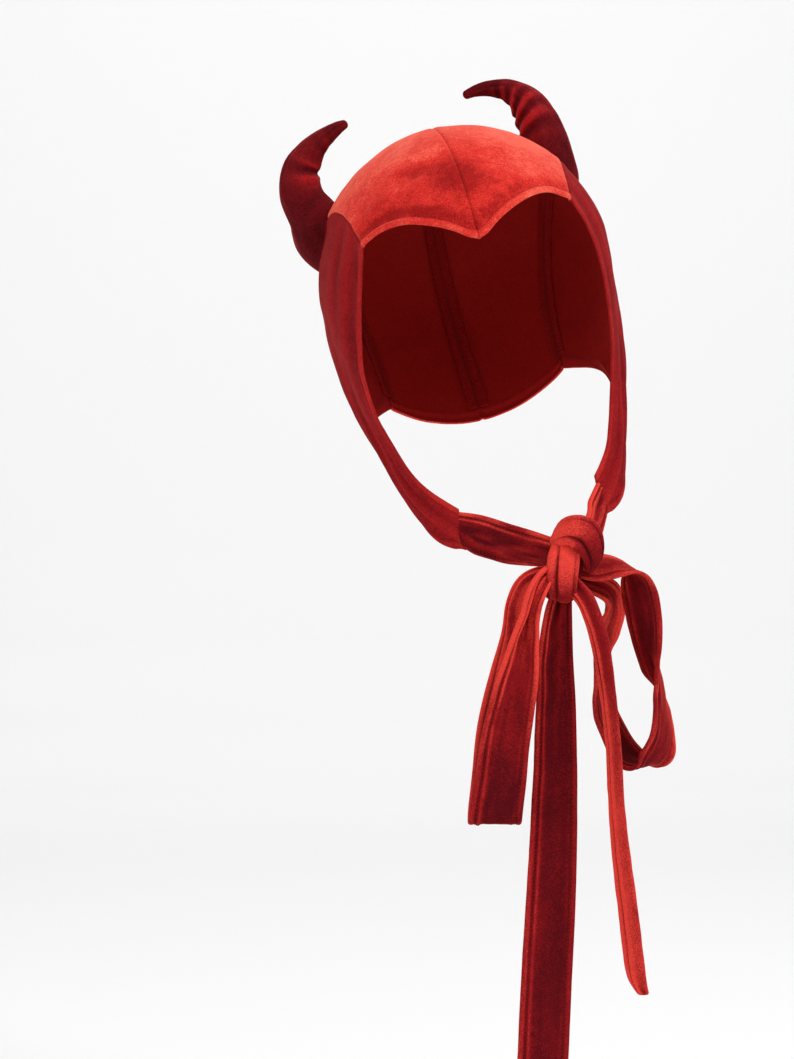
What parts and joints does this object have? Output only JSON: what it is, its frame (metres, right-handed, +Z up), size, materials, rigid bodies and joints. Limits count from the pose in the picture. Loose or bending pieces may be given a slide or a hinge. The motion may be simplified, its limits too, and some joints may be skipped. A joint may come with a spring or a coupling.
{
  "type": "horned bonnet",
  "caption": "Velvet bonnet with a widow's peak, two stuffed horns, ear panels down to chin flaps, and flat ties in a bow with two loops and two hanging ends.",
  "frame": {"origin": "top of the hollow for the head, where the crown sits on it", "axes": "+Z up, the face opening looks along -Y, +X is the viewer's right; the hood leans 13.5 degrees towards -X as worn, and the bow hangs plumb"},
  "size_m": [0.2018, 0.1899, 0.5342],
  "materials": {
    "crown_velvet": "crushed stretch velvet, bright red nap",
    "side_velvet": "stretch velvet, red nap in shade",
    "horn_velvet": "stuffed crimson velvet, dark nap",
    "strap_velvet": "double-layer stretch velvet with stitched edges"
  },
  "bodies": {
    "root": {"crown_left": "crown_velvet", "crown_right": "crown_velvet", "side_left": "side_velvet", "side_right": "side_velvet", "horn_left": "horn_velvet", "horn_right": "horn_velvet", "knot": "strap_velvet", "knot_fold": "strap_velvet", "tie_left": "strap_velvet", "tie_right": "strap_velvet", "loop_left": "strap_velvet", "loop_right": "strap_velvet", "tail_long": "strap_velvet", "tail_short": "strap_velvet"}
  },
  "joints": []
}
